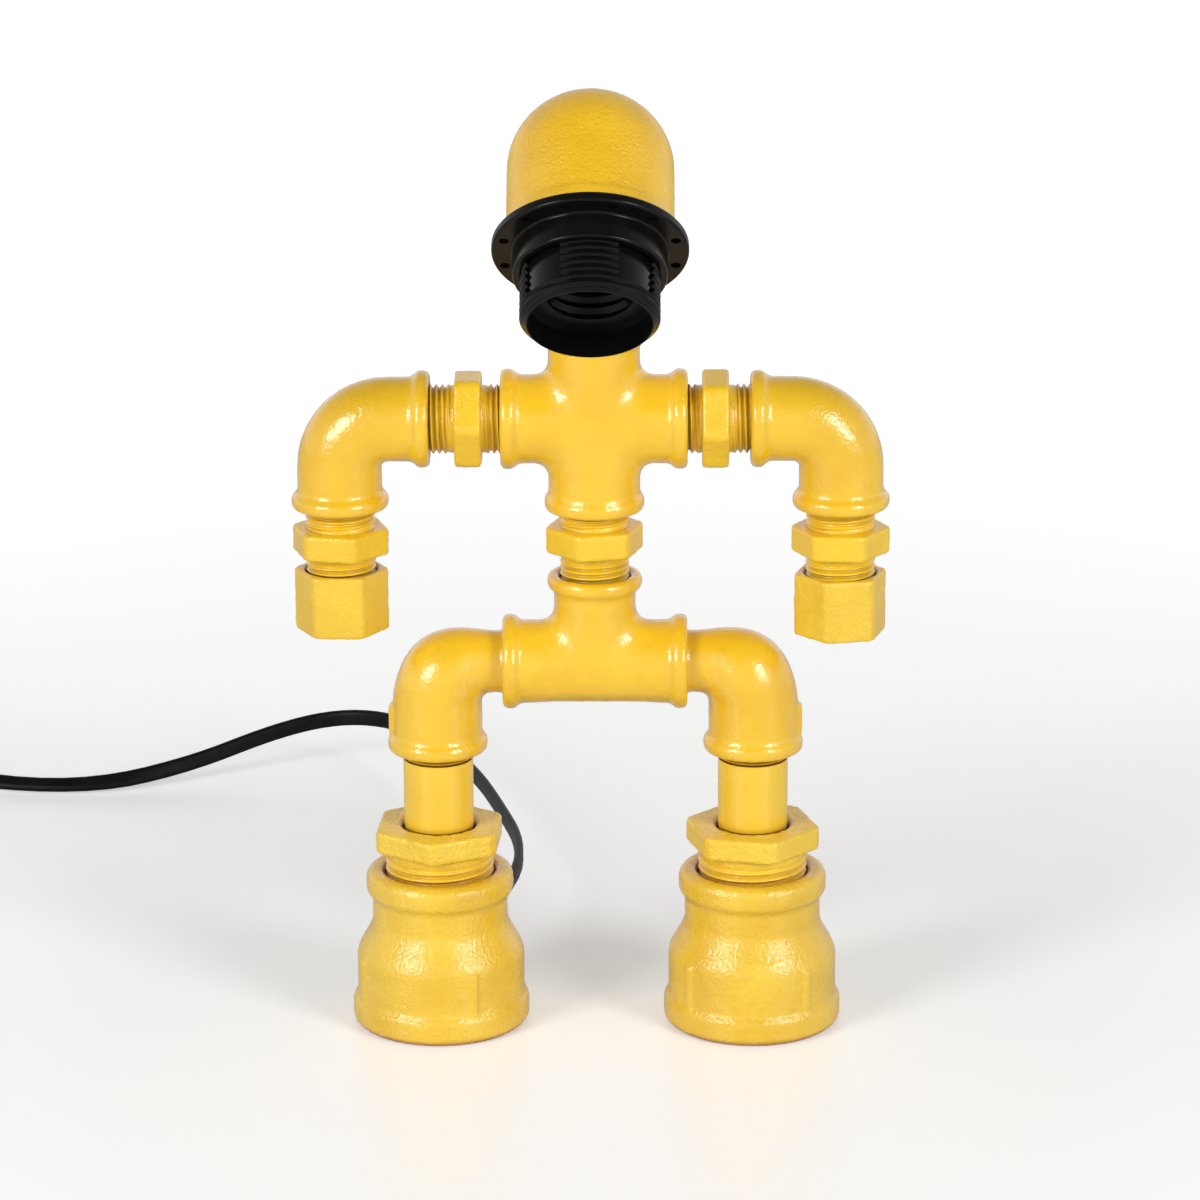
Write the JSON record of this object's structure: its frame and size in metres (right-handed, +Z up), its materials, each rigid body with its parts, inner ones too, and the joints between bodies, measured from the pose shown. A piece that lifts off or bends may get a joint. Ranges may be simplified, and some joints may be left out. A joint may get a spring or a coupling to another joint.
{
  "type": "table lamp",
  "caption": "Table lamp shaped like a small standing robot, built from yellow-painted threaded pipe fittings, with a black screw lampholder for a face and a flat mains cord from one foot.",
  "frame": {"origin": "centre of the body's box (without the free cord) on the floor", "axes": "+Z up, -Y the way the face looks, +X to the viewer's right"},
  "size_m": [0.4938, 0.3648, 0.3026],
  "materials": {
    "yellow_paint": "glossy yellow enamel over cast iron, fine orange peel",
    "fitting_paint": "yellow enamel over turned and hexagon fittings, a little duller",
    "black_holder": "black thermoplastic, half gloss",
    "white_insulator": "white ceramic-like insulator",
    "contact_brass": "bare brass spring",
    "screw_steel": "zinc-plated steel",
    "black_cord": "glossy black flexible sheath",
    "black_rubber": "soft black moulding",
    "tie_fabric": "black woven tie",
    "black_case": "black moulded case",
    "pin_nickel": "nickel-plated brass pins"
  },
  "bodies": {
    "left_leg": {"foot_left": "yellow_paint", "ankle_bush_left": "fitting_paint", "shin_pipe_left": "yellow_paint", "hip_elbow_left": "yellow_paint", "strain_relief": "black_rubber", "inner_cord_leg": "black_cord", "free_cord": "black_cord", "cord_coil": "black_cord", "coil_tie": "tie_fabric", "plug_body": "black_case", "plug_pins": "pin_nickel", "switch_base": "black_case", "switch_cover": "black_case", "switch_strips": "contact_brass", "switch_screws": "screw_steel"},
    "hips": {"hip_tee": "yellow_paint", "waist_nipple": "fitting_paint", "inner_cord_hips": "black_cord"},
    "right_leg": {"foot_right": "yellow_paint", "ankle_bush_right": "fitting_paint", "shin_pipe_right": "yellow_paint", "hip_elbow_right": "yellow_paint"},
    "torso": {"chest_cross": "yellow_paint", "shoulder_nipple_left": "fitting_paint", "shoulder_nipple_right": "fitting_paint", "inner_cord_chest": "black_cord"},
    "arm_left": {"arm_elbow_left": "yellow_paint", "forearm_nipple_left": "fitting_paint", "hand_cap_left": "fitting_paint"},
    "arm_right": {"arm_elbow_right": "yellow_paint", "forearm_nipple_right": "fitting_paint", "hand_cap_right": "fitting_paint"},
    "neck": {"neck_elbow": "yellow_paint", "neck_nipple": "fitting_paint", "inner_cord_neck": "black_cord"},
    "head": {"head_elbow": "yellow_paint", "lampholder_barrel": "black_holder", "lampholder_cap": "black_holder", "contact_block": "white_insulator", "centre_contact": "contact_brass", "side_contact": "contact_brass", "terminal_screws": "screw_steel", "terminal_leads": "black_cord", "inner_cord_head": "black_cord"},
    "shade_ring": {"shade_ring": "black_holder"},
    "switch_rocker": {"switch_rocker": "black_case"}
  },
  "joints": [
    {"name": "hip_left", "type": "hinge", "parent": "left_leg", "child": "hips", "pos_m": [0.00106, 0.04019, 0.1153], "axis": [-1, 0, 0], "range_deg": [-20, 90]},
    {"name": "hip_right", "type": "hinge", "parent": "hips", "child": "right_leg", "pos_m": [0.00106, 0.04019, 0.1153], "axis": [-1, 0, 0], "range_deg": [-20, 90]},
    {"name": "waist_turn", "type": "hinge", "parent": "hips", "child": "torso", "pos_m": [0.00106, 0.04019, 0.1913], "axis": [0, 0, 1], "range_deg": [-90, 90]},
    {"name": "shoulder_left", "type": "hinge", "parent": "torso", "child": "arm_left", "pos_m": [0.00106, 0.04019, 0.1913], "axis": [-1, 0, 0], "range_deg": [-90, 180]},
    {"name": "shoulder_right", "type": "hinge", "parent": "torso", "child": "arm_right", "pos_m": [0.00106, 0.04019, 0.1913], "axis": [-1, 0, 0], "range_deg": [-90, 180]},
    {"name": "neck_turn", "type": "hinge", "parent": "torso", "child": "neck", "pos_m": [0.00106, 0.04019, 0.2333], "axis": [0, 0, 1], "range_deg": [-90, 90]},
    {"name": "head_turn", "type": "hinge", "parent": "neck", "child": "head", "pos_m": [0.00106, 0.04019, 0.2333], "axis": [0, -0.7071, 0.7071], "range_deg": [-90, 90]},
    {"name": "shade_ring_turn", "type": "hinge", "parent": "head", "child": "shade_ring", "pos_m": [0.00106, -0.03561, 0.26215], "axis": [0, -0.7071, -0.7071], "range_deg": [0, 360]},
    {"name": "switch_rock", "type": "hinge", "parent": "left_leg", "child": "switch_rocker", "pos_m": [-0.29258, 0.27616, 0.0186], "axis": [-0.2924, -0.9563, 0], "range_deg": [-14, 0]}
  ]
}
